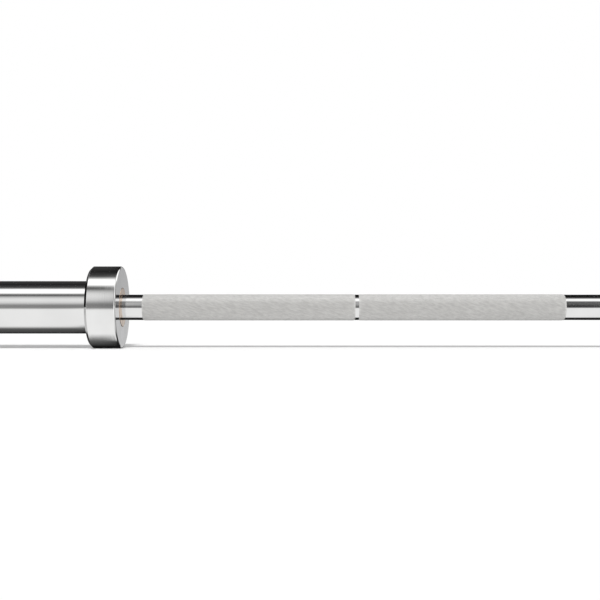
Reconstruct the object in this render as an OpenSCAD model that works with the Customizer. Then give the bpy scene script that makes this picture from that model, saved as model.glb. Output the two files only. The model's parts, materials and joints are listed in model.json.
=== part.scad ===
// Olympic barbell with a slim grip: one knurled shaft and two sleeves that spin on bronze bushings.
// Millimetres. The bar lies along X, +Z is up, and the origin is the middle of the shaft's axis.
// Each side is drawn once, for the +X end, and mirrored for the -X end.

/* [Bar] */
// Length of the whole bar, from sleeve end to sleeve end
bar_len = 2010; // [1900:5:2200]
// Distance between the inner faces of the two collars
collar_gap = 1310; // [1200:5:1350]

/* [Shaft] */
// Diameter of the smooth shaft
shaft_d = 24.2; // [23:0.1:26]
// Height of the knurled bands over the smooth shaft
knurl_rise = 0.4; // [0.2:0.05:0.8]
// Smooth length between a collar and the first knurled band
knurl_start = 20; // [8:1:40]
// Distance from a collar to the middle of the ring mark
ring_mark_at = 223; // [190:0.5:260]
// Width of the smooth ring mark between two knurled bands
ring_mark_w = 3.5; // [3:0.5:10]
// Distance from a collar to the end of the knurling near the middle of the bar
knurl_end = 420; // [300:1:560]
// Space between each end of the shaft and the end cap
shaft_end_gap = 8; // [4:1:20]
// Chamfer on each end of the shaft
shaft_chamfer = 1.5; // [0.5:0.5:3]
// Diameter of the lathe centre hole in each end of the shaft
centre_hole_d = 4; // [2:0.5:6]
// Width of the cone at the mouth of that hole
centre_cone_d = 8; // [7:0.5:12]

/* [Collar] */
// Outer diameter of each collar
collar_d = 78; // [70:1:90]
// Width of each collar along the bar
collar_w = 29; // [24:1:40]
// Rounding of the collar's edge on the shaft's side
collar_round = 1.8; // [0.5:0.1:4]
// Chamfer of the collar's edge on the plates' side
collar_chamfer = 2.5; // [0.5:0.1:4]
// Diameter of the spigot that the collar is pressed on
spigot_d = 45; // [43:0.5:47]

/* [Sleeve] */
// Outer diameter of each sleeve
sleeve_d = 50; // [49.5:0.5:55]
// Radius of the fillet at the sleeve's root, next to the collar
root_fillet = 1.5; // [1:0.5:4]
// Thickness of the sleeve's shoulder, which is sunk flush in the collar
shoulder_t = 1.5; // [1:0.5:4]
// Chamfer around the sleeve's outer end
sleeve_chamfer = 1.5; // [0.5:0.5:2]

/* [Sleeve bore] */
// Extra radius of the long middle bore over the inner bushing's seat
bore_relief = 0.8; // [0.5:0.1:1.8]
// Extra radius of the outer bushing's seat over the middle bore
outer_step = 1.8; // [1.2:0.1:2.2]
// Extra radius of the end cap's seat over the outer bushing's seat
cap_step = 2; // [1.4:0.1:2.4]

/* [Bushings] */
// Running clearance between the shaft and its bushings, on the radius
run_clear = 0.05; // [0.03:0.01:0.09]
// Wall of the inner bushing
bushing_wall = 3.85; // [3.5:0.05:4.6]
// Length of the inner bushing with its flange
inner_bushing_len = 42; // [30:1:80]
// Length of the outer bushing
outer_bushing_len = 25; // [15:1:50]
// Width of the flange around the inner bushing
flange_rise = 2.5; // [1:0.5:4]
// Thickness of that flange
flange_t = 3; // [2.5:0.5:5]
// How far the flange stands proud of the collar's inner face
flange_proud = 0.2; // [0:0.1:1]

/* [Thrust washers] */
// Thickness of each thrust washer
washer_t = 2; // [1:0.1:3]
// Width of each thrust washer's face
washer_w = 2.3; // [1.5:0.1:2.5]
// Clearance between a thrust washer and the shaft, on the radius
washer_clear = 0.15; // [0.08:0.01:0.3]
// Play of each washer between the bushing and the ring behind it
washer_play = 0.2; // [0.1:0.05:0.5]

/* [Retaining rings] */
// Thickness of the rings on the shaft
shaft_ring_t = 1.2; // [1:0.1:1.8]
// Depth of their grooves in the shaft
shaft_groove = 0.6; // [0.4:0.1:0.9]
// Distance from the outer ring's groove to the end of the shaft
shaft_groove_edge = 4.6; // [3.5:0.1:10]
// Thickness of the rings in the sleeve
bore_ring_t = 1.5; // [1.2:0.1:2]
// Depth of their grooves in the sleeve
bore_groove = 1.1; // [0.8:0.1:1.3]
// Extra width of each groove over its ring
groove_slack = 0.1; // [0.05:0.05:0.2]

/* [End cap] */
// Thickness of the end cap
cap_t = 5; // [4:0.5:8]
// Distance from the cap's retaining ring to the end of the sleeve
cap_ring_edge = 2.5; // [2:0.5:6]
// Clearance around the end cap, on the radius
cap_clear = 0.1; // [0.05:0.05:0.3]
// Thickness of the rubber ring around the end cap
seal_d = 2.1; // [1.6:0.1:2.5]
// Depth of the shallow dish in the cap's outer face
dish_depth = 0.8; // [0.3:0.1:1.5]
// Width of the rim around that dish
dish_rim = 6; // [5:0.5:9]

/* [Hidden] */

$fn = 96;

// Small sizes that every side shares
edge_break = 0.4;        // chamfer on the edges of small turned pieces
spigot_gap = 0.2;        // space between the spigot's end and the collar's lip
pocket_clear = 0.1;      // space around the flange in the collar's lip
recess_clear = 0.05;     // space around the shoulder in the collar's outer face
seat_runout = 1.5;       // the bushing seat runs this far past the bushing
seal_gap = 0.05;         // space between the rubber ring and the sleeve
seal_room = 0.2;         // extra width of the rubber ring's groove, each side
cone_angle = 60;         // full angle of the lathe centre's cone
centre_hole_depth = 7;   // straight part of the centre hole, past the cone
cut = 1;                 // how far a cutting shape runs past the surface

// Sizes of the retaining rings, seen along the bar
shaft_ring_back = 3;     // width of a shaft ring opposite its gap
shaft_ring_tip = 1.8;    // width of a shaft ring at its gap
shaft_lug_r = 2.3;       // radius of a shaft ring's lugs
shaft_ring_gap = 5;      // gap between a shaft ring's lugs
bore_ring_back = 3.2;    // width of a bore ring opposite its gap
bore_ring_tip = 2;       // width of a bore ring at its gap
bore_lug_r = 2.1;        // radius of a bore ring's lugs
bore_ring_gap = 8;       // gap between a bore ring's lugs
plier_hole_r = 1;        // radius of the plier holes in the lugs

// Radii
shaft_r = shaft_d / 2;
knurl_r = shaft_r + knurl_rise;
bushing_bore_r = shaft_r + run_clear;
inner_seat_r = bushing_bore_r + bushing_wall;
flange_r = inner_seat_r + flange_rise;
main_bore_r = inner_seat_r + bore_relief;
outer_seat_r = main_bore_r + outer_step;
cap_seat_r = outer_seat_r + cap_step;
cap_r = cap_seat_r - cap_clear;
sleeve_r = sleeve_d / 2;
spigot_r = spigot_d / 2;
shoulder_r = sleeve_r + root_fillet;
collar_r = collar_d / 2;
shaft_groove_r = shaft_r - shaft_groove;
washer_bore_r = shaft_r + washer_clear;
washer_r = washer_bore_r + washer_w;

// Places along the bar, counted from its middle towards one end
collar_in = collar_gap / 2;
collar_out = collar_in + collar_w;
flange_in = collar_in - flange_proud;
spigot_in = flange_in + flange_t;
inner_bushing_out = flange_in + inner_bushing_len;
shoulder_in = collar_out - shoulder_t;
sleeve_out = bar_len / 2;
cap_ring_in = sleeve_out - cap_ring_edge - bore_ring_t;
cap_in = cap_ring_in - cap_t;
shaft_out = cap_in - shaft_end_gap;
outer_ring_in = shaft_out - shaft_groove_edge - shaft_ring_t;
outer_bushing_out = outer_ring_in - washer_play - washer_t;
outer_bushing_in = outer_bushing_out - outer_bushing_len;
outer_washer_in = outer_bushing_out + washer_play / 2;
inner_washer_in = outer_bushing_in - washer_play / 2 - washer_t;
inner_ring_out = outer_bushing_in - washer_play - washer_t;
inner_ring_in = inner_ring_out - shaft_ring_t;

// Colours of the finishes
chrome = [0.78, 0.79, 0.80];
turned_steel = [0.62, 0.63, 0.65];
bronze = [0.72, 0.50, 0.30];
dark_spring = [0.22, 0.22, 0.24];
black_rubber = [0.08, 0.08, 0.08];

// A profile drawn as radius across and place along the bar becomes a turned piece
module turned() {
    rotate([0, 90, 0])
        rotate_extrude()
            children();
}

// A flat outline is laid square across the bar, from place x, t thick
module across(x, t) {
    translate([x, 0, 0])
        rotate([90, 0, 90])
            linear_extrude(t)
                children();
}

module left() {
    mirror([1, 0, 0])
        children();
}

module right() {
    children();
}

// Section of a plain ring: place x0 to x1, radius r0 to r1
module section(x0, x1, r0, r1) {
    translate([r0, x0])
        square([r1 - r0, x1 - x0]);
}

// Section with its four corners cut by c, or only the two outer ones when r0 is 0
module cut_section(x0, x1, r0, r1, c) {
    inner = r0 > 0 ? c : 0;
    polygon([
        [r0 + inner, x0], [r1 - c, x0], [r1, x0 + c], [r1, x1 - c],
        [r1 - c, x1], [r0 + inner, x1], [r0, x1 - inner], [r0, x0 + inner]
    ]);
}

// Section of a knurled band, bevelled down to the smooth shaft at both ends
module knurl_section(x0, x1) {
    polygon([
        [0, x0], [shaft_r, x0], [knurl_r, x0 + knurl_rise],
        [knurl_r, x1 - knurl_rise], [shaft_r, x1], [0, x1]
    ]);
}

// Section of the lathe centre's hole, drilled in from place x1
module centre_section(x1) {
    cone_depth = (centre_cone_d - centre_hole_d) / 2 / tan(cone_angle / 2);
    section(x1 - cone_depth - centre_hole_depth, x1 + cut, 0, centre_hole_d / 2);
    polygon([
        [0, x1 - cone_depth], [centre_hole_d / 2, x1 - cone_depth],
        [centre_cone_d / 2, x1], [centre_cone_d / 2, x1 + cut], [0, x1 + cut]
    ]);
}

// Half of the shaft's section, from the middle of the bar to one end
module half_shaft_section() {
    difference() {
        union() {
            section(0, shaft_out, 0, shaft_r);
            knurl_section(collar_in - knurl_end, collar_in - ring_mark_at - ring_mark_w / 2);
            knurl_section(collar_in - ring_mark_at + ring_mark_w / 2, collar_in - knurl_start);
        }
        // end chamfer
        polygon([
            [shaft_r - shaft_chamfer, shaft_out], [shaft_r, shaft_out - shaft_chamfer],
            [shaft_r + cut, shaft_out - shaft_chamfer], [shaft_r + cut, shaft_out + cut],
            [shaft_r - shaft_chamfer, shaft_out + cut]
        ]);
        centre_section(shaft_out);
        // grooves for the two retaining rings
        section(outer_ring_in, outer_ring_in + shaft_ring_t + groove_slack, shaft_groove_r, knurl_r + cut);
        section(inner_ring_in - groove_slack, inner_ring_out, shaft_groove_r, knurl_r + cut);
    }
}

module shaft() {
    color(chrome)
        turned() {
            half_shaft_section();
            mirror([0, 1]) half_shaft_section();
        }
}

// The collar is pressed on the spigot, up to the sleeve's shoulder, which is flush in its outer face.
// Its lip covers the spigot's end and holds the flange in a pocket
module collar() {
    lip_out = spigot_in - spigot_gap;
    color(chrome)
        turned()
            difference() {
                union() {
                    // chamfered towards the plates, with a corner left out for the rounding
                    polygon([
                        [0, collar_in], [collar_r - collar_round, collar_in],
                        [collar_r - collar_round, collar_in + collar_round], [collar_r, collar_in + collar_round],
                        [collar_r, collar_out - collar_chamfer], [collar_r - collar_chamfer, collar_out],
                        [0, collar_out]
                    ]);
                    translate([collar_r - collar_round, collar_in + collar_round])
                        circle(r = collar_round);
                }
                section(lip_out, shoulder_in + cut, 0, spigot_r);
                section(shoulder_in, collar_out + cut, 0, shoulder_r + recess_clear);
                section(collar_in - cut, lip_out + cut, 0, flange_r + pocket_clear);
                // broken edge at the mouth of the pocket
                polygon([
                    [flange_r, collar_in - cut], [flange_r + pocket_clear + edge_break, collar_in - cut],
                    [flange_r + pocket_clear + edge_break, collar_in],
                    [flange_r + pocket_clear, collar_in + edge_break], [flange_r, collar_in + edge_break]
                ]);
            }
}

// Sleeve: spigot and shoulder at the collar, then the plain loading length, with a stepped bore
module sleeve_tube() {
    color(chrome)
        turned()
            difference() {
                union() {
                    cut_section(spigot_in, collar_out, 0, spigot_r, edge_break);
                    section(shoulder_in, collar_out, 0, shoulder_r);
                    section(collar_out, sleeve_out, 0, sleeve_r);
                    // fillet from the shoulder down to the sleeve
                    difference() {
                        section(collar_out, collar_out + root_fillet, 0, shoulder_r);
                        translate([shoulder_r, collar_out + root_fillet])
                            circle(r = root_fillet);
                    }
                }
                // bore: bushing seat, middle, outer bushing seat, end cap seat
                section(spigot_in - cut, inner_bushing_out + seat_runout, 0, inner_seat_r);
                section(inner_bushing_out + seat_runout, outer_bushing_in, 0, main_bore_r);
                section(outer_bushing_in, cap_in, 0, outer_seat_r);
                section(cap_in, sleeve_out + cut, 0, cap_seat_r);
                // grooves for the two retaining rings
                section(outer_bushing_out, outer_bushing_out + bore_ring_t + groove_slack,
                    0, outer_seat_r + bore_groove);
                section(cap_ring_in, cap_ring_in + bore_ring_t + groove_slack, 0, cap_seat_r + bore_groove);
                // chamfers around the end and in its mouth
                polygon([
                    [sleeve_r - sleeve_chamfer, sleeve_out], [sleeve_r, sleeve_out - sleeve_chamfer],
                    [sleeve_r + cut, sleeve_out - sleeve_chamfer], [sleeve_r + cut, sleeve_out + cut],
                    [sleeve_r - sleeve_chamfer, sleeve_out + cut]
                ]);
                polygon([
                    [0, sleeve_out - edge_break], [cap_seat_r, sleeve_out - edge_break],
                    [cap_seat_r + edge_break, sleeve_out], [cap_seat_r + edge_break, sleeve_out + cut],
                    [0, sleeve_out + cut]
                ]);
            }
}

// Bronze bushing with a flange that shows around the shaft at the collar
module inner_bushing() {
    color(bronze)
        turned()
            difference() {
                union() {
                    cut_section(flange_in, spigot_in, 0, flange_r, edge_break);
                    cut_section(flange_in + flange_t / 2, inner_bushing_out, 0, inner_seat_r, edge_break);
                }
                section(flange_in - cut, inner_bushing_out + cut, 0, bushing_bore_r);
            }
}

// Plain bronze bushing, pressed against the step of its seat
module outer_bushing() {
    color(bronze)
        turned()
            cut_section(outer_bushing_in, outer_bushing_out, bushing_bore_r, outer_seat_r, edge_break);
}

// Steel washer, free to turn between the outer bushing and a shaft ring
module thrust_washer(x) {
    color(turned_steel)
        turned()
            cut_section(x, x + washer_t, washer_bore_r, washer_r, edge_break);
}

// Retaining ring in a groove of the shaft, widest opposite its gap, with two drilled lugs
module shaft_ring(x) {
    outer_r = shaft_groove_r + (shaft_ring_back + shaft_ring_tip) / 2;
    shift = (shaft_ring_back - shaft_ring_tip) / 2;
    lug_x = shaft_ring_gap / 2 + shaft_lug_r;
    lug_at = shaft_groove_r + shaft_lug_r;
    lug_y = sqrt(lug_at * lug_at - lug_x * lug_x);
    color(dark_spring)
        across(x, shaft_ring_t)
            difference() {
                union() {
                    translate([0, -shift]) circle(r = outer_r);
                    for (s = [-1, 1]) translate([s * lug_x, lug_y]) circle(r = shaft_lug_r);
                }
                circle(r = shaft_groove_r);
                translate([-shaft_ring_gap / 2, 0]) square([shaft_ring_gap, outer_r * 2]);
                for (s = [-1, 1]) translate([s * lug_x, lug_y]) circle(r = plier_hole_r);
            }
}

// Retaining ring in a groove of the sleeve's bore, with its lugs inside
module bore_ring(x, seat_r) {
    outer_r = seat_r + bore_groove;
    inner_r = outer_r - (bore_ring_back + bore_ring_tip) / 2;
    shift = (bore_ring_back - bore_ring_tip) / 2;
    lug_x = bore_ring_gap / 2 + bore_lug_r;
    lug_at = outer_r - bore_lug_r;
    lug_y = sqrt(lug_at * lug_at - lug_x * lug_x);
    color(dark_spring)
        across(x, bore_ring_t)
            difference() {
                circle(r = outer_r);
                difference() {
                    translate([0, shift]) circle(r = inner_r);
                    for (s = [-1, 1]) translate([s * lug_x, lug_y]) circle(r = bore_lug_r);
                }
                translate([-bore_ring_gap / 2, 0]) square([bore_ring_gap, outer_r * 2]);
                for (s = [-1, 1]) translate([s * lug_x, lug_y]) circle(r = plier_hole_r);
            }
}

// Turned cap that closes the sleeve, with a groove for its rubber ring and a shallow dish
module end_cap() {
    seal_mid = cap_in + cap_t / 2;
    color(chrome)
        turned()
            difference() {
                cut_section(cap_in, cap_ring_in, 0, cap_r, edge_break);
                section(seal_mid - seal_d / 2 - seal_room, seal_mid + seal_d / 2 + seal_room,
                    cap_seat_r - seal_d - seal_gap * 2, cap_seat_r + cut);
                polygon([
                    [0, cap_ring_in - dish_depth], [cap_r - dish_rim - dish_depth, cap_ring_in - dish_depth],
                    [cap_r - dish_rim, cap_ring_in], [cap_r - dish_rim, cap_ring_in + cut],
                    [0, cap_ring_in + cut]
                ]);
            }
}

module end_cap_seal() {
    color(black_rubber)
        turned()
            translate([cap_seat_r - seal_gap - seal_d / 2, cap_in + cap_t / 2])
                circle(r = seal_d / 2);
}

shaft();

left() collar();  // left_collar
left() sleeve_tube();  // left_sleeve_tube
left() inner_bushing();  // left_inner_bushing
left() outer_bushing();  // left_outer_bushing
left() shaft_ring(inner_ring_in);  // left_inner_shaft_ring
left() thrust_washer(inner_washer_in);  // left_inner_thrust_washer
left() thrust_washer(outer_washer_in);  // left_outer_thrust_washer
left() shaft_ring(outer_ring_in);  // left_outer_shaft_ring
left() bore_ring(outer_bushing_out, outer_seat_r);  // left_bushing_retaining_ring
left() end_cap();  // left_end_cap
left() end_cap_seal();  // left_end_cap_seal
left() bore_ring(cap_ring_in, cap_seat_r);  // left_end_cap_retaining_ring

right() collar();  // right_collar
right() sleeve_tube();  // right_sleeve_tube
right() inner_bushing();  // right_inner_bushing
right() outer_bushing();  // right_outer_bushing
right() shaft_ring(inner_ring_in);  // right_inner_shaft_ring
right() thrust_washer(inner_washer_in);  // right_inner_thrust_washer
right() thrust_washer(outer_washer_in);  // right_outer_thrust_washer
right() shaft_ring(outer_ring_in);  // right_outer_shaft_ring
right() bore_ring(outer_bushing_out, outer_seat_r);  // right_bushing_retaining_ring
right() end_cap();  // right_end_cap
right() end_cap_seal();  // right_end_cap_seal
right() bore_ring(cap_ring_in, cap_seat_r);  // right_end_cap_retaining_ring
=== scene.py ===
import json
import math

import bmesh
import bpy
import numpy as np
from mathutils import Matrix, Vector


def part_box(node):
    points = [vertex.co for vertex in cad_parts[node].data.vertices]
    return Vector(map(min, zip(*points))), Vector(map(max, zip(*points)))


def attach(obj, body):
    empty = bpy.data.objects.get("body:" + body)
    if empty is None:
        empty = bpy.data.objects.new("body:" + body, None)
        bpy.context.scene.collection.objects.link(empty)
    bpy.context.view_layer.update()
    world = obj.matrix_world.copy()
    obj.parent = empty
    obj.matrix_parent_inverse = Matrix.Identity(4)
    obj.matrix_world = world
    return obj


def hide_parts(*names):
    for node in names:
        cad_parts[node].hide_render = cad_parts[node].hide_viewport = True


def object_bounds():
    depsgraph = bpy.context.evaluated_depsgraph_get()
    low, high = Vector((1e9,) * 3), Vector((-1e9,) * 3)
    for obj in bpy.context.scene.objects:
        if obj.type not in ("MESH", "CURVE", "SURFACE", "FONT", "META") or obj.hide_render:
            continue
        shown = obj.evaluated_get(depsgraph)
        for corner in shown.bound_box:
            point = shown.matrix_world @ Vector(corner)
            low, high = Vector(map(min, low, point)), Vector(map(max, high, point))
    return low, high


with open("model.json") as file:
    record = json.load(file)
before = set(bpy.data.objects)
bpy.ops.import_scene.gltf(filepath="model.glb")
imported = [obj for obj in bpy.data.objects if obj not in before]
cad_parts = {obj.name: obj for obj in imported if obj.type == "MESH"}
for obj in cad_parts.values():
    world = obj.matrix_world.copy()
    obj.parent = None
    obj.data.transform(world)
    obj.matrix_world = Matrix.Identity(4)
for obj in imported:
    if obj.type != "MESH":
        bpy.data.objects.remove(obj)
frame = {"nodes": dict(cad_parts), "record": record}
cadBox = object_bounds()  # lowest and highest corner of the CAD model
print("frame loaded with", len(frame["nodes"]), "nodes")

# Metres throughout. The bar lies along X and the photograph is taken from -Y.
# Each end of the bar is worked out for the +X end, and side -1 mirrors it to the other one.
endsOfBar = (("left", -1), ("right", 1))


class Signal:  # an output of a node, which can be used in plain arithmetic
    def __init__(self, board, socket):
        self.board = board
        self.socket = socket

    def calc(self, operation, first, second):
        return self.board.node("ShaderNodeMath", {"operation": operation}, {0: first, 1: second})

    def __add__(self, other):
        return self.calc("ADD", self, other)

    def __radd__(self, other):
        return self.calc("ADD", other, self)

    def __sub__(self, other):
        return self.calc("SUBTRACT", self, other)

    def __rsub__(self, other):
        return self.calc("SUBTRACT", other, self)

    def __mul__(self, other):
        return self.calc("MULTIPLY", self, other)

    def __rmul__(self, other):
        return self.calc("MULTIPLY", other, self)

    def __pow__(self, other):
        return self.calc("POWER", self, other)

    def out(self, name):  # another output of the same node
        return Signal(self.board, self.socket.node.outputs[name])


class Board:  # the node tree of a material or of the world
    def __init__(self, owner):
        owner.use_nodes = True
        self.tree = owner.node_tree
        self.tree.nodes.clear()

    def node(self, kind, settings=None, sockets=None):
        made = self.tree.nodes.new(kind)
        for name, value in (settings or {}).items():
            if name == "stops":
                self.setStops(made.color_ramp, value)
            else:
                setattr(made, name, value)
        for name, value in (sockets or {}).items():
            if isinstance(value, Signal):
                self.tree.links.new(value.socket, made.inputs[name])
            else:
                made.inputs[name].default_value = value
        return Signal(self, made.outputs[0]) if made.outputs else made

    def setStops(self, ramp, stops):
        ramp.elements.remove(ramp.elements[-1])
        for place, level in stops[1:]:
            ramp.elements.new(place).color = (level, level, level, 1)
        ramp.elements[0].position = stops[0][0]
        ramp.elements[0].color = (stops[0][1],) * 3 + (1,)

    def spread(self, value, low, high):  # smooth step, 0 up to low and 1 from high
        sockets = {"Value": value, "From Min": low, "From Max": high}
        return self.node("ShaderNodeMapRange", {"interpolation_type": "SMOOTHSTEP"}, sockets)

    def mixColours(self, share, first, second):  # 6, 7 and 2 are the mix node's sockets for colours
        sockets = {"Factor": share, 6: (*first, 1), 7: (*second, 1)}
        return self.node("ShaderNodeMix", {"data_type": "RGBA"}, sockets).out(2)


def placeOnBar(board):
    return board.node("ShaderNodeTexCoord").out("Object")


def barCoordinates(board):
    # place along the bar, across it and up it, and the distance from its axis
    place = board.node("ShaderNodeSeparateXYZ", sockets={0: placeOnBar(board)})
    along, across, up = place.out("X"), place.out("Y"), place.out("Z")
    return along, across, up, (across * across + up * up) ** 0.5


def turningLines(board, spacing, streak):
    # fine lines round the axis, on the turned faces as well as on the turned diameters
    along, across, up, radius = barCoordinates(board)
    stretched = board.node(
        "ShaderNodeCombineXYZ",
        sockets={0: along * (1 / spacing), 1: across * (1 / streak), 2: up * (1 / streak)},
    )
    return board.node(
        "ShaderNodeTexNoise", {"noise_dimensions": "4D"},
        {"Vector": stretched, "W": radius * (1 / spacing), "Scale": 1.0, "Detail": 2.0},
    )


def speckle(board, size, detail, roughness=0.5):
    return board.node(
        "ShaderNodeTexNoise",
        sockets={"Vector": placeOnBar(board), "Scale": 1 / size, "Detail": detail, "Roughness": roughness},
    )


def finishMaterial(name, look, paint):
    # paint adds the finish's own nodes and returns its colour, roughness and height
    made = bpy.data.materials.new(name)
    board = Board(made)
    colour, roughness, height = paint(board, look)
    bump = board.node(
        "ShaderNodeBump", sockets={"Strength": 1.0, "Distance": look["relief"], "Height": height}
    )
    shader = board.node(
        "ShaderNodeBsdfPrincipled",
        sockets={"Base Color": colour, "Roughness": roughness, "Metallic": look["metal"], "Normal": bump},
    )
    board.node("ShaderNodeOutputMaterial", sockets={"Surface": shader})
    return made


# Noise levels between which a finish goes from its dark tone to its light one
toneSpread = {"stains": (0.3, 0.7), "grain": (0.35, 0.65)}
patchShare = 0.6  # what the larger patches count for in a grainy finish, the rest being its grain


def paintTurnedMetal(board, look):
    lines = turningLines(board, look["lineSpacing"], look["lineLength"])
    stains = speckle(board, look["stainSize"], detail=3.0)
    tone = board.spread(stains, *toneSpread["stains"])
    roughness = look["polish"] + look["polishSpread"] * lines + look["stainRough"] * stains
    return board.mixColours(tone, look["darkTone"], look["lightTone"]), roughness, lines


def grainyFinish(board, look, grain, patches):
    tone = board.spread(patches * patchShare + grain * (1 - patchShare), *toneSpread["grain"])
    roughness = look["polish"] + look["polishSpread"] * grain
    return board.mixColours(tone, look["darkTone"], look["lightTone"]), roughness, grain


def fineGrain(board, look):
    return speckle(board, look["grainSize"], detail=4.0, roughness=0.65)


def paintGrainyMetal(board, look):
    clouds = speckle(board, look["stainSize"], detail=2.0)
    return grainyFinish(board, look, fineGrain(board, look), clouds)


def paintKnurl(board, look):
    # faint streaks along the bar, aslant: painted sheen, lighter and darker tone where the crests of the
    # diamonds line up
    width = look["streakWidth"]
    laid = board.node(
        "ShaderNodeMapping", {"vector_type": "TEXTURE"},
        {"Vector": placeOnBar(board), "Rotation": (0, math.radians(look["streakSlant"]), 0),
         "Scale": (look["streakLength"], width, width)},
    )
    sheenStreaks = board.node("ShaderNodeTexNoise", sockets={"Vector": laid, "Scale": 1.0, "Detail": 3.0})
    return grainyFinish(board, look, fineGrain(board, look), sheenStreaks)


smoothShaftLook = {
    "lightTone": (0.80, 0.80, 0.795), "darkTone": (0.76, 0.76, 0.755), "metal": 1.0,
    "lineSpacing": 0.00045, "lineLength": 0.012, "stainSize": 0.03,
    "polish": 0.06, "polishSpread": 0.05, "stainRough": 0.02, "relief": 0.000003,
}
knurlLook = {
    "lightTone": (0.66, 0.655, 0.64), "darkTone": (0.515, 0.51, 0.50), "metal": 0.36,
    "grainSize": 0.0002, "streakWidth": 0.0012, "streakLength": 0.006, "streakSlant": 18,
    "polish": 0.28, "polishSpread": 0.14, "relief": 0.00001,
}
sleeveLook = {
    "lightTone": (0.805, 0.805, 0.80), "darkTone": (0.765, 0.765, 0.76), "metal": 1.0,
    "lineSpacing": 0.0005, "lineLength": 0.02, "stainSize": 0.05,
    "polish": 0.05, "polishSpread": 0.05, "stainRough": 0.02, "relief": 0.000003,
}
collarLook = {
    "lightTone": (0.80, 0.80, 0.795), "darkTone": (0.74, 0.74, 0.735), "metal": 1.0,
    "lineSpacing": 0.0009, "lineLength": 0.03, "stainSize": 0.04,
    "polish": 0.04, "polishSpread": 0.06, "stainRough": 0.02, "relief": 0.000008,
}
collarFaceLook = {
    "lightTone": (0.72, 0.72, 0.73), "darkTone": (0.64, 0.64, 0.65), "metal": 1.0,
    "lineSpacing": 0.0005, "lineLength": 0.01, "stainSize": 0.03,
    "polish": 0.08, "polishSpread": 0.08, "stainRough": 0.02, "relief": 0.000004,
}
capLook = {
    "lightTone": (0.79, 0.80, 0.81), "darkTone": (0.74, 0.75, 0.76), "metal": 1.0,
    "lineSpacing": 0.0006, "lineLength": 0.02, "stainSize": 0.02,
    "polish": 0.09, "polishSpread": 0.12, "stainRough": 0.03, "relief": 0.000008,
}
bronzeLook = {
    "lightTone": (0.68, 0.53, 0.41), "darkTone": (0.52, 0.37, 0.26), "metal": 1.0,
    "grainSize": 0.0003, "stainSize": 0.005, "polish": 0.04, "polishSpread": 0.08, "relief": 0.00001,
}
washerLook = {
    "lightTone": (0.64, 0.65, 0.67), "darkTone": (0.54, 0.55, 0.57), "metal": 1.0,
    "lineSpacing": 0.0003, "lineLength": 0.006, "stainSize": 0.01,
    "polish": 0.22, "polishSpread": 0.2, "stainRough": 0.05, "relief": 0.000008,
}
springLook = {
    "lightTone": (0.23, 0.23, 0.24), "darkTone": (0.15, 0.15, 0.155), "metal": 0.8,
    "grainSize": 0.00035, "stainSize": 0.004, "polish": 0.42, "polishSpread": 0.2, "relief": 0.00002,
}
rubberLook = {
    "lightTone": (0.06, 0.06, 0.06), "darkTone": (0.035, 0.035, 0.035), "metal": 0.0,
    "grainSize": 0.0004, "stainSize": 0.005, "polish": 0.55, "polishSpread": 0.25, "relief": 0.00003,
}

smoothShaftFinish = finishMaterial("polished shaft steel", smoothShaftLook, paintTurnedMetal)
knurlFinish = finishMaterial("satin knurl", knurlLook, paintKnurl)
sleeveFinish = finishMaterial("turned sleeve chrome", sleeveLook, paintTurnedMetal)
collarFinish = finishMaterial("turned collar chrome", collarLook, paintTurnedMetal)
collarFaceFinish = finishMaterial("satin collar face", collarFaceLook, paintTurnedMetal)
capFinish = finishMaterial("turned cap chrome", capLook, paintTurnedMetal)
bronzeFinish = finishMaterial("sintered bronze", bronzeLook, paintGrainyMetal)
washerFinish = finishMaterial("ground washer steel", washerLook, paintTurnedMetal)
springFinish = finishMaterial("dark spring steel", springLook, paintGrainyMetal)
rubberFinish = finishMaterial("black rubber", rubberLook, paintGrainyMetal)
print("finishes made")


turning = {
    "arcSteps": 6,        # points on a rounding of a quarter turn
    "hold": 0.00006,      # a flat keeps a point this close to the rounding beside it
    "sharpAngle": 40,     # degrees from which an edge is shaded sharp
    "sameSpot": 1e-7,     # points closer than this are one
    "onAxis": 1e-9,       # radius under which a point lies on the axis
    "facePlay": 1e-5,     # how near a face finish's plane counts as on it
}


def roundedOutline(corners, closed):
    # corners are (place along the bar, radius, rounding); each rounding becomes an arc, with a point held
    # just past both of its ends so that the flats beside it stay flat when the piece is shaded smooth
    arcSteps, hold = turning["arcSteps"], turning["hold"]
    points = []
    for index, (x, r, rounding) in enumerate(corners):
        corner = np.array((x, r))
        if not rounding or (not closed and index in (0, len(corners) - 1)):
            points.append(corner)
            continue
        before = np.array(corners[index - 1][:2]) - corner
        after = np.array(corners[(index + 1) % len(corners)][:2]) - corner
        roomBefore, roomAfter = np.linalg.norm(before), np.linalg.norm(after)
        before, after = before / roomBefore, after / roomAfter
        half = math.acos(np.clip(before @ after, -1, 1)) / 2
        reach = rounding / math.tan(half)
        middle = corner + (before + after) / np.linalg.norm(before + after) * rounding / math.sin(half)
        first, last = corner + before * reach, corner + after * reach
        if reach + hold < roomBefore:
            points.append(first + before * hold)
        turn = math.pi - 2 * half
        steps = max(2, math.ceil(arcSteps * turn / (math.pi / 2)))
        for step in range(steps + 1):
            share = step / steps
            fromFirst = (first - middle) * math.sin((1 - share) * turn)
            fromLast = (last - middle) * math.sin(share * turn)
            points.append(middle + (fromFirst + fromLast) / math.sin(turn))
        if reach + hold < roomAfter:
            points.append(last + after * hold)
    kept = [points[0]]
    for point in points[1:]:
        if np.linalg.norm(point - kept[-1]) > turning["sameSpot"]:
            kept.append(point)
    return np.array(kept)


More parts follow.
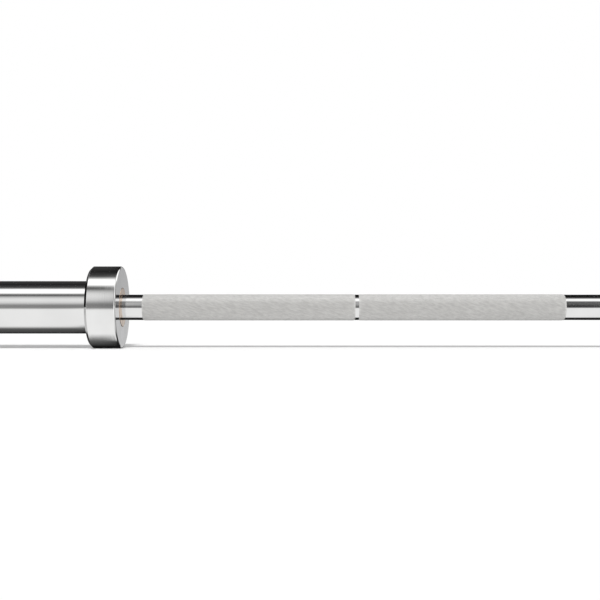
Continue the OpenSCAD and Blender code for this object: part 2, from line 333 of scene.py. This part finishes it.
def turnedPiece(name, corners, side, sides, finish, faceFinish=None, faceAt=None):
    # an outline of the half section, turned round the bar's axis
    closed = corners[0][1] > 0
    outline = roundedOutline(corners, closed)
    rings = []
    points = []
    for x, r in outline:
        angles = np.arange(sides) * 2 * math.pi / sides if r > turning["onAxis"] else np.zeros(1)
        rings.append((len(points), len(angles)))
        points.extend((x * side, r * math.cos(a), r * math.sin(a)) for a in angles)
    lengths = np.linalg.norm(np.diff(outline, axis=0, append=outline[:1]), axis=1)
    travelled = np.concatenate(([0], np.cumsum(lengths))) / lengths.sum()
    faces, spots, faceRows = [], [], []
    for row in range(len(outline) if closed else len(outline) - 1):
        (start, count), (following, nextCount) = rings[row], rings[(row + 1) % len(rings)]
        low, high = travelled[row], travelled[row + 1]
        for k in range(sides):
            left, right = k / sides, (k + 1) / sides
            ring = [
                (start + k % count, (left, low)), (start + (k + 1) % count, (right, low)),
                (following + (k + 1) % nextCount, (right, high)), (following + k % nextCount, (left, high)),
            ]
            if count == 1:
                ring.pop(1)
            if nextCount == 1:
                ring.pop(-1)
            faces.append([vertex for vertex, spot in ring])
            spots.extend(spot for vertex, spot in ring)
            faceRows.append(row)
    mesh = bpy.data.meshes.new(name)
    mesh.from_pydata(points, [], faces, shade_flat=False)
    mesh.uv_layers.new(name="OFBake").data.foreach_set("uv", np.array(spots, np.float32).ravel())
    mesh.materials.append(finish)
    if faceFinish:
        mesh.materials.append(faceFinish)
        onFace = np.abs(outline[:, 0] - faceAt) < turning["facePlay"]
        flatRows = onFace & np.roll(onFace, -1)
        mesh.polygons.foreach_set("material_index", flatRows[faceRows].astype(np.int32))
    shell = bmesh.new()
    shell.from_mesh(mesh)
    bmesh.ops.recalc_face_normals(shell, faces=shell.faces)
    shell.to_mesh(mesh)
    shell.free()
    mesh.set_sharp_from_angle(angle=math.radians(turning["sharpAngle"]))
    piece = bpy.data.objects.new(name, mesh)
    bpy.context.scene.collection.objects.link(piece)
    return piece


def spanOf(node):
    # nearest and farthest place of a node from the middle of the bar, and its radius
    low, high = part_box(node)
    near, far = sorted((abs(low.x), abs(high.x)))
    return near, far, max(high.y, high.z)


def grooveCorners(at, width, radius, bottomR):
    # a retaining ring's groove, which starts at a place along the bar, from its outer wall to its inner one
    return [(at + width, radius, 0), (at + width, bottomR, 0), (at, bottomR, 0), (at, radius, 0)]


# The shaft without its knurl: chamfered ends with lathe centres, and the grooves of the retaining rings
shaft = {
    "radius": 0.0121, "endChamfer": 0.0015, "edge": 0.0002, "sides": 192,
    "grooveR": 0.0115, "grooveWidth": 0.0013,
    "centreHoleR": 0.002, "centreConeR": 0.004, "centreConeAngle": 30, "centreDepth": 0.0105,
}


def halfShaftOutline(end, innerGroove, outerGroove):
    r, edge, chamfer = shaft["radius"], shaft["edge"], shaft["endChamfer"]
    hole, bottom = shaft["centreHoleR"], end - shaft["centreDepth"]
    cone = (shaft["centreConeR"] - hole) / math.tan(math.radians(shaft["centreConeAngle"]))
    outline = [
        (bottom, 0, 0), (bottom, hole, 0), (end - cone, hole, 0), (end, shaft["centreConeR"], edge),
        (end, r - chamfer, edge), (end - chamfer, r, edge),
    ]
    for groove in (outerGroove, innerGroove):
        outline += grooveCorners(groove, shaft["grooveWidth"], r, shaft["grooveR"])
    return outline


shaftEnd = spanOf("shaft")[1]
outerGroove = spanOf("right_outer_shaft_ring")[0]
innerGroove = spanOf("right_inner_shaft_ring")[1] - shaft["grooveWidth"]
halfOutline = halfShaftOutline(shaftEnd, innerGroove, outerGroove)
otherHalf = [(-x, r, rounding) for x, r, rounding in reversed(halfOutline)]
shaftBar = turnedPiece("shaft_bar", halfOutline + otherHalf, 1, shaft["sides"], smoothShaftFinish)
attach(shaftBar, "shaft")
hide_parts("shaft")
print("shaft turned")

# Two knurled bands a side, parted by the ring mark
knurl = {
    "bands": {"inner": (0.235, 0.43025), "outer": (0.43375, 0.635)},
    "around": 64,       # diamonds round the bar
    "grooveAngle": 30,  # between a groove and the bar's axis, in degrees
    "crestR": 0.0125, "valleyR": 0.01212, "wallR": 0.0118,
    "crestShare": 0.3,  # width of a diamond's flat top over its base
    "fade": 0.0016,     # the crests rise to their full height over this length
    "mapEdge": (1, 2),  # steps left free beside the band's map, round the bar and along it
}


def mapBand(mesh, spots, around, columns):
    # lays the band out flat, from the place of every point round the bar and along it
    corners = np.empty(len(mesh.loops), np.int32)
    mesh.loops.foreach_get("vertex_index", corners)
    map2d = spots[corners]
    starts = np.empty(len(mesh.polygons), np.int32)
    mesh.polygons.foreach_get("loop_start", starts)
    most = np.maximum.reduceat(map2d[:, 0], starts)
    faceOf = np.repeat(np.arange(len(starts)), np.diff(np.append(starts, len(corners))))
    map2d[:, 0] += around * (most[faceOf] - map2d[:, 0] > around / 2)  # faces that cross the seam
    edge = np.array(knurl["mapEdge"])
    map2d = (map2d + edge) / (np.array((around + 1, columns)) + 2 * edge)
    mesh.uv_layers.new(name="OFBake").data.foreach_set("uv", map2d.astype(np.float32).ravel())


def knurlBand(name, start, end):
    around = knurl["around"]
    step = 2 * math.pi / around
    column = knurl["crestR"] * step / math.tan(math.radians(knurl["grooveAngle"])) / 2
    columns = round((end - start) / column)
    column = (end - start) / columns
    steps = np.arange(around)
    points, spots, faces, triangles = [], [], [], []

    def addRing(x, radius, turns, mapColumn):
        angles = turns * step
        ring = (np.full(around, x), radius * np.cos(angles), radius * np.sin(angles))
        points.append(np.stack(ring, axis=1))
        spots.append(np.stack((turns, np.full(around, mapColumn)), axis=1))

    def valleyTurns(k):  # every second ring lies half a diamond further round
        return steps + 0.5 + 0.5 * (k % 2)

    for k in range(columns + 1):
        addRing(start + k * column, knurl["valleyR"], valleyTurns(k), k)
    valleyCount = around * (columns + 1)
    # corners of a diamond's flat top, from its middle along the bar and round it
    share = knurl["crestShare"]
    flatTop = ((-share, 0), (0, share / 2), (share, 0), (0, -share / 2))
    for k in range(1, columns):
        x = start + k * column
        rise = min(1.0, min(x - start, end - x) / knurl["fade"])
        crestR = knurl["valleyR"] + (knurl["crestR"] - knurl["valleyR"]) * rise
        middle = steps + 0.5 * (k % 2)
        for dx, turn in flatTop:
            addRing(x + dx * column, crestR, middle + turn, k + dx)
        left = valleyCount + (k - 1) * around * len(flatTop) + steps
        upper, right, lower = left + around, left + 2 * around, left + 3 * around
        beside = (steps - 1 + (k % 2)) % around
        baseLeft, baseRight = (k - 1) * around + beside, (k + 1) * around + beside
        baseUpper, baseLower = k * around + steps, k * around + (steps - 1) % around
        faces.append(np.stack((left, upper, right, lower), axis=1))
        for a, b, crestB, crestA in (
            (baseLeft, baseUpper, upper, left), (baseUpper, baseRight, right, upper),
            (baseRight, baseLower, lower, right), (baseLower, baseLeft, left, lower),
        ):
            faces.append(np.stack((a, b, crestB, crestA), axis=1))
    # half diamonds at both ends, and the wall under the band
    total = valleyCount + (columns - 1) * around * len(flatTop)
    wall = {0: total + steps, columns: total + around + steps}
    for k, inward in ((0, 1), (columns, -1)):
        addRing(start + k * column, knurl["wallR"], valleyTurns(k), k - inward)
        upper, lower = k * around + steps, k * around + (steps - 1) % around
        point = (k + inward) * around + (steps - 1 + (k % 2)) % around
        wallUpper, wallLower = wall[k], np.roll(wall[k], 1)
        if inward > 0:
            triangles.append(np.stack((upper, point, lower), axis=1))
            faces.append(np.stack((upper, lower, wallLower, wallUpper), axis=1))
        else:
            triangles.append(np.stack((lower, point, upper), axis=1))
            faces.append(np.stack((lower, upper, wallUpper, wallLower), axis=1))
    near, far = wall[0], wall[columns] if columns % 2 == 0 else np.roll(wall[columns], 1)
    nearNext, farNext = np.roll(near, -1), np.roll(far, -1)
    faces.append(np.stack((near, nearNext, farNext, far), axis=1)[:, ::-1])

    mesh = bpy.data.meshes.new(name)
    faceLists = np.concatenate(faces).tolist() + np.concatenate(triangles).tolist()
    mesh.from_pydata(np.concatenate(points), [], faceLists)
    mapBand(mesh, np.concatenate(spots), around, columns)
    mesh.materials.append(knurlFinish)
    piece = bpy.data.objects.new(name, mesh)
    bpy.context.scene.collection.objects.link(piece)
    return piece


for sideName, side in endsOfBar:
    for bandName, places in knurl["bands"].items():
        start, end = sorted(place * side for place in places)
        band = knurlBand(f"{sideName}_{bandName}_knurl", start, end)
        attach(band, "shaft")
        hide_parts("shaft")
print("knurl cut")

# Collar: rounded towards the shaft and chamfered towards the plates, with a pocket for the bushing's
# flange and a recess for the sleeve's shoulder
collar = {
    "edgeRound": 0.0018, "chamfer": 0.0025, "chamferEdge": 0.0003, "edge": 0.0003, "spigotR": 0.0225,
    "pocketR": 0.0186, "pocketDepth": 0.0026, "recessR": 0.02655, "recessDepth": 0.0015, "sides": 256,
}
for sideName, side in endsOfBar:
    near, far, radius = spanOf(f"{sideName}_collar")
    pocket = near + collar["pocketDepth"]
    recess = far - collar["recessDepth"]
    outline = [
        (near, collar["pocketR"], collar["edge"]), (near, radius, collar["edgeRound"]),
        (far - collar["chamfer"], radius, collar["chamferEdge"]),
        (far, radius - collar["chamfer"], collar["chamferEdge"]),
        (far, collar["recessR"], 0), (recess, collar["recessR"], 0),
        (recess, collar["spigotR"], 0), (pocket, collar["spigotR"], 0), (pocket, collar["pocketR"], 0),
    ]
    piece = turnedPiece(f"{sideName}_collar_ring", outline, side, collar["sides"],
                        collarFinish, collarFaceFinish, near)
    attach(piece, f"{sideName}_sleeve")
    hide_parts(f"{sideName}_collar")
print("collars turned")

# Sleeve: spigot, shoulder flush with the collar, root fillet, plain length and stepped bore
sleeve = {
    "radius": 0.025, "spigotR": 0.0225, "shoulderT": 0.0015, "rootFillet": 0.0015, "endChamfer": 0.0015,
    "filletFit": 0.999,  # share of the root fillet that is drawn, to end clear of the shoulder's edge
    "edge": 0.0002, "seatRunout": 0.0015, "grooveDepth": 0.0011, "grooveWidth": 0.0016,
    "seatClear": 0.0001, "innerSeatR": 0.016, "boreR": 0.0168, "sides": 256,
}
for sideName, side in endsOfBar:
    near, far, shoulderR = spanOf(f"{sideName}_sleeve_tube")
    collarFar = spanOf(f"{sideName}_collar")[1]
    shoulder = collarFar - sleeve["shoulderT"]
    innerSeatEnd = spanOf(f"{sideName}_inner_bushing")[1] + sleeve["seatRunout"]
    outerIn, outerOut, outerSeatR = spanOf(f"{sideName}_outer_bushing")
    capIn, capOut, capR = spanOf(f"{sideName}_end_cap")
    capSeatR = capR + sleeve["seatClear"]
    seatR, boreR, edge = sleeve["innerSeatR"], sleeve["boreR"], sleeve["edge"]
    r, chamfer = sleeve["radius"], sleeve["endChamfer"]
    width, depth = sleeve["grooveWidth"], sleeve["grooveDepth"]
    outline = [
        (near, seatR, 0), (near, sleeve["spigotR"], edge), (shoulder, sleeve["spigotR"], 0),
        (shoulder, shoulderR, 0), (collarFar, shoulderR, 0),
        (collarFar, r, sleeve["rootFillet"] * sleeve["filletFit"]), (far - chamfer, r, edge),
        (far, r - chamfer, edge), (far, capSeatR, edge),
        *grooveCorners(capOut, width, capSeatR, capSeatR + depth),
        (capIn, capSeatR, 0), (capIn, outerSeatR, 0),
        *grooveCorners(outerOut, width, outerSeatR, outerSeatR + depth),
        (outerIn, outerSeatR, 0), (outerIn, boreR, 0), (innerSeatEnd, boreR, 0), (innerSeatEnd, seatR, 0),
    ]
    piece = turnedPiece(f"{sideName}_sleeve_body", outline, side, sleeve["sides"], sleeveFinish)
    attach(piece, f"{sideName}_sleeve")
    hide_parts(f"{sideName}_sleeve_tube")
print("sleeves turned")

# Bronze bushing whose flange shows in the collar, round the shaft
bushing = {"boreR": 0.01215, "seatR": 0.016, "flangeT": 0.003, "edge": 0.0004, "sides": 192}
for sideName, side in endsOfBar:
    near, far, flangeR = spanOf(f"{sideName}_inner_bushing")
    flangeFar = near + bushing["flangeT"]
    edge = bushing["edge"]
    outline = [
        (near, bushing["boreR"], edge), (near, flangeR, edge), (flangeFar, flangeR, edge),
        (flangeFar, bushing["seatR"], 0), (far, bushing["seatR"], edge), (far, bushing["boreR"], edge),
    ]
    piece = turnedPiece(f"{sideName}_flanged_bushing", outline, side, bushing["sides"], bronzeFinish)
    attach(piece, f"{sideName}_sleeve")
    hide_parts(f"{sideName}_inner_bushing")
print("bushings turned")

# End cap with a shallow dish in its face and a groove for its rubber ring
cap = {
    "dishDepth": 0.0008, "dishRim": 0.006, "edge": 0.0004, "sealGrooveR": 0.0184, "sealGrooveW": 0.0025,
    "sides": 192,
}
for sideName, side in endsOfBar:
    near, far, radius = spanOf(f"{sideName}_end_cap")
    middle = (near + far) / 2
    half = cap["sealGrooveW"] / 2
    dishR = radius - cap["dishRim"]
    dishFloor = far - cap["dishDepth"]
    edge = cap["edge"]
    outline = [
        (near, 0, 0), (near, radius, edge), (middle - half, radius, 0),
        (middle - half, cap["sealGrooveR"], 0), (middle + half, cap["sealGrooveR"], 0),
        (middle + half, radius, 0), (far, radius, edge), (far, dishR, edge),
        (dishFloor, dishR - cap["dishDepth"], edge), (dishFloor, 0, 0),
    ]
    piece = turnedPiece(f"{sideName}_cap_disc", outline, side, cap["sides"], capFinish)
    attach(piece, f"{sideName}_sleeve")
    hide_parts(f"{sideName}_end_cap")
print("end caps turned")

# The pieces that stay as the CAD made them get their finish
slotFinishes = {
    "bushing_bronze": bronzeFinish, "washer_steel": washerFinish, "spring_steel": springFinish,
    "seal_rubber": rubberFinish, "shaft_steel": smoothShaftFinish, "sleeve_chrome": sleeveFinish,
    "collar_chrome": collarFinish, "cap_chrome": capFinish,
}
for part in frame["record"]["subparts"]:
    for slot in frame["nodes"][part["node"]].material_slots:
        slot.material = slotFinishes[part["material_slot"]]
print("CAD pieces finished")

# Studio: white floor and background, the cards that the metal mirrors, and the bar's shadow on the floor
# painted into what the metal mirrors under it
studio = {
    "floorSize": 40.0, "floorColour": (0.88, 0.88, 0.88), "floorGlow": 0.12,
    "fillLevel": 0.46, "sunLevel": 0.56, "sunHeight": 46, "sunWidth": 11,
    # degrees up from the front, over the bar and down behind it, and how bright the studio is there
    "leftCards": [
        (0, 0.3), (3, 0.28), (7, 0.26), (11, 0.34), (15.5, 0.55), (20, 0.77), (25, 0.88), (31, 0.97),
        (38, 0.92), (43, 0.74), (48, 0.45), (52.5, 0.14), (57, 0.14), (62, 0.6), (66, 1.5), (82, 1.7),
        (89, 0.6), (95, 0.13), (102, 0.055), (112, 0.035), (120, 0.02), (134, 0.04), (170, 0.06),
        (180, 0.3),
    ],
    "middleCards": [
        (0, 0.17), (4.5, 0.14), (13.7, 0.27), (23, 0.41), (32, 0.5), (42, 0.44), (52, 0.5), (62, 1.2),
        (73, 1.5), (84, 1.13), (96, 0.2), (110, 0.02), (131, 0.008), (170, 0.03), (180, 0.2),
    ],
    "rightCards": [
        (0, 0.07), (4.5, 0.03), (14, 0.033), (23, 0.07), (32, 0.12), (42, 0.11), (52, 0.15), (62, 1.1),
        (73, 1.5), (84, 0.7), (95, 0.05), (112, 0.007), (131, 0.01), (170, 0.02), (180, 0.2),
    ],
    # degrees down from the front, under the bar and up behind it, for the sleeve, the collar and the shaft;
    # past a dim band low in front, each holds a painted shadow of that part on the floor, dark under and
    # behind it, which the metal mirrors
    "sleeveFloor": [
        (0, 0.28), (2, 0.28), (4.5, 0.5), (7, 0.85), (9, 1), (88, 1), (94, 0.83), (100, 0.45),
        (107, 0.15), (116, 0.1), (128, 0.08), (139, 0.06), (150, 0.03), (172, 0.01), (180, 0.05),
    ],
    "collarFloorShade": [
        (0, 0.28), (1, 0.3), (3, 0.6), (5, 0.95), (7, 1.04), (78, 1.04), (83, 0.85), (88.5, 0.6),
        (93.5, 0.38), (98.5, 0.25), (104, 0.17), (113, 0.115), (124, 0.07), (134, 0.03), (145, 0.006),
        (180, 0.0),
    ],
    "shaftFloorShade": [
        (0, 0.2), (2, 0.25), (4.5, 0.5), (7, 0.85), (9, 1), (97, 1.02), (103, 0.8), (108, 0.2),
        (113, 0.02), (128, 0.01), (172, 0.01), (180, 0.15),
    ],
    # shares of the way left and right at which one set of cards gives way to the next
    "sleeveEdge": (-0.222, -0.216), "leftEdge": (-0.192, -0.18), "rightEdge": (0.09, 0.28),
    # past "endEdge" to both sides come the end cards, up from the front and down from it
    "endEdge": (0.3, 0.42),
    "leftEndCards": [(0, 1.6), (30, 1.25), (60, 0.85), (90, 1.1), (120, 0.5), (135, 0.12), (180, 0.06)],
    "rightEndCards": [(0, 1.6), (30, 1.25), (60, 0.85), (90, 1.2), (115, 1.5), (150, 1.4), (180, 0.5)],
    "endFloor": [(0, 1.6), (30, 1.2), (60, 0.9), (90, 0.25), (120, 0.05), (180, 0.03)],
    # farthest out a dark card over the bar on the left, cards of their own over it on the right,
    # and a light card under it on both sides
    "farEdge": (0.72, 0.8), "darkCardLevel": 0.0, "lightCardLevel": 0.62,
    "farRightCards": [
        (0, 0.7), (8, 0.5), (12, 0.0), (36, 0.0), (42, 1.4), (84, 1.4), (94, 0.1), (180, 0.02),
    ],
    # low behind the bar, to the right, a grey card for the collar's inner face to mirror
    "backLeft": (0.07, 0.12), "backRight": (0.24, 0.29), "backEdge": (155, 165),
    "backAbove": 0.54, "backBelow": 0.67,
}
brightest = 2.0  # a ramp's levels stop at 1, so they are kept as shares of this


def seenRays(board):
    # rays that show the background: straight to the camera, in metal or through glass
    path = board.node("ShaderNodeLightPath")
    mirrored = path.calc("MAXIMUM", path.out("Is Glossy Ray"), path.out("Is Transmission Ray"))
    return path.out("Is Camera Ray"), mirrored


world = bpy.data.worlds.new("studio")
bpy.context.scene.world = world
board = Board(world)
heading = board.node("ShaderNodeSeparateXYZ", sockets={0: board.node("ShaderNodeTexCoord").out("Generated")})
sideways = heading.out("X")
rise = heading.calc("ARCTAN2", heading.out("Z"), heading.out("Y") * -1) * (1 / math.pi)
overhead = rise.calc("GREATER_THAN", rise, 0.0)


def cardLevel(name, place):
    stops = [(angle / 180, level / brightest) for angle, level in studio[name]]
    return board.node("ShaderNodeValToRGB", {"stops": stops}, {0: place}) * brightest


sleeveShare = 1 - board.spread(sideways, *studio["sleeveEdge"])
leftShare = 1 - board.spread(sideways, *studio["leftEdge"])
rightShare = board.spread(sideways, *studio["rightEdge"])
aboveBar = (
    cardLevel("leftCards", rise) * leftShare + cardLevel("rightCards", rise) * rightShare
    + cardLevel("middleCards", rise) * (1 - leftShare - rightShare)
)
fall = rise * -1
# painted shadow: under the bar the metal mirrors the floor with each part's own shadow painted in
belowBar = (
    cardLevel("sleeveFloor", fall) * sleeveShare + cardLevel("shaftFloorShade", fall) * (1 - leftShare)
    + cardLevel("collarFloorShade", fall) * (leftShare - sleeveShare)
)
fromCards = aboveBar * overhead + belowBar * (1 - overhead)
outwards = sideways.calc("ABSOLUTE", sideways, 0.0)
endShare = board.spread(outwards, *studio["endEdge"])
toRight = sideways.calc("GREATER_THAN", sideways, 0.0)
overEnds = cardLevel("rightEndCards", rise) * toRight + cardLevel("leftEndCards", rise) * (1 - toRight)
fromEnds = overEnds * overhead + cardLevel("endFloor", fall) * (1 - overhead)
farLeftShare = board.spread(sideways * -1, *studio["farEdge"]) * overhead
farRightShare = board.spread(sideways, *studio["farEdge"]) * overhead
lightShare = board.spread(outwards, *studio["farEdge"]) * (1 - overhead)
behindBar = board.spread(rise.calc("ABSOLUTE", rise, 0.0), *(angle / 180 for angle in studio["backEdge"]))
pastRight = board.spread(sideways, *studio["backRight"])
backShare = board.spread(sideways, *studio["backLeft"]) * (1 - pastRight) * behindBar
fromBack = studio["backBelow"] + overhead * (studio["backAbove"] - studio["backBelow"])
mirroredLevel = fromCards * (1 - endShare) + fromEnds * endShare
farCards = [
    (backShare, fromBack), (farLeftShare, studio["darkCardLevel"]),
    (farRightShare, cardLevel("farRightCards", rise)), (lightShare, studio["lightCardLevel"]),
]
for share, cardsLevel in farCards:
    mirroredLevel = mirroredLevel * (1 - share) + share * cardsLevel
cameraRay, mirroredRay = seenRays(board)
level = cameraRay + mirroredRay * mirroredLevel + (1 - cameraRay - mirroredRay) * studio["fillLevel"]
background = board.node("ShaderNodeBackground", sockets={"Color": (1, 1, 1, 1), "Strength": level})
board.node("ShaderNodeOutputWorld", sockets={"Surface": background})
world.cycles.sampling_method = "NONE"

floorMesh = bpy.data.meshes.new("floor")
half = studio["floorSize"] / 2
floorCorners = [(-half, -half, 0), (half, -half, 0), (half, half, 0), (-half, half, 0)]
floorMesh.from_pydata(floorCorners, [], [(0, 1, 2, 3)])
floor = bpy.data.objects.new("floor", floorMesh)
floor.location.z = cadBox[0].z
floor.visible_glossy = False  # the metal mirrors the world's floor levels instead, with the bar's shadow painted in
bpy.context.scene.collection.objects.link(floor)
paper = bpy.data.materials.new("white floor")
board = Board(paper)
cameraRay, mirroredRay = seenRays(board)
matt = board.node("ShaderNodeBsdfDiffuse", sockets={"Color": (*studio["floorColour"], 1)})
glow = board.node("ShaderNodeEmission", sockets={"Strength": (cameraRay + mirroredRay) * studio["floorGlow"]})
both = board.node("ShaderNodeAddShader", sockets={0: matt, 1: glow})
board.node("ShaderNodeOutputMaterial", sockets={"Surface": both})
floorMesh.materials.append(paper)

sunData = bpy.data.lights.new("soft front light", "SUN")
sunData.energy = studio["sunLevel"] * math.pi / math.sin(math.radians(studio["sunHeight"]))
sunData.angle = math.radians(studio["sunWidth"])
sun = bpy.data.objects.new("soft front light", sunData)
sun.rotation_euler = (math.radians(90 - studio["sunHeight"]), 0, 0)
sun.visible_glossy = False
bpy.context.scene.collection.objects.link(sun)
print("studio set")

# The photograph is taken square to the bar, a little above its axis, beside its left half
camera = {"place": (-0.486, -0.925, 0.007), "lens": 58.22, "sensor": 36.0, "clip": (0.01, 100)}
cameraData = bpy.data.cameras.new("camera")
cameraData.lens = camera["lens"]
cameraData.sensor_width = camera["sensor"]
cameraData.clip_start, cameraData.clip_end = camera["clip"]
cameraObject = bpy.data.objects.new("camera", cameraData)
cameraObject.location = camera["place"]
cameraObject.rotation_euler = (math.radians(90), 0, 0)  # level, towards +Y
bpy.context.scene.collection.objects.link(cameraObject)
bpy.context.scene.camera = cameraObject
bpy.context.scene.view_settings.view_transform = "Standard"
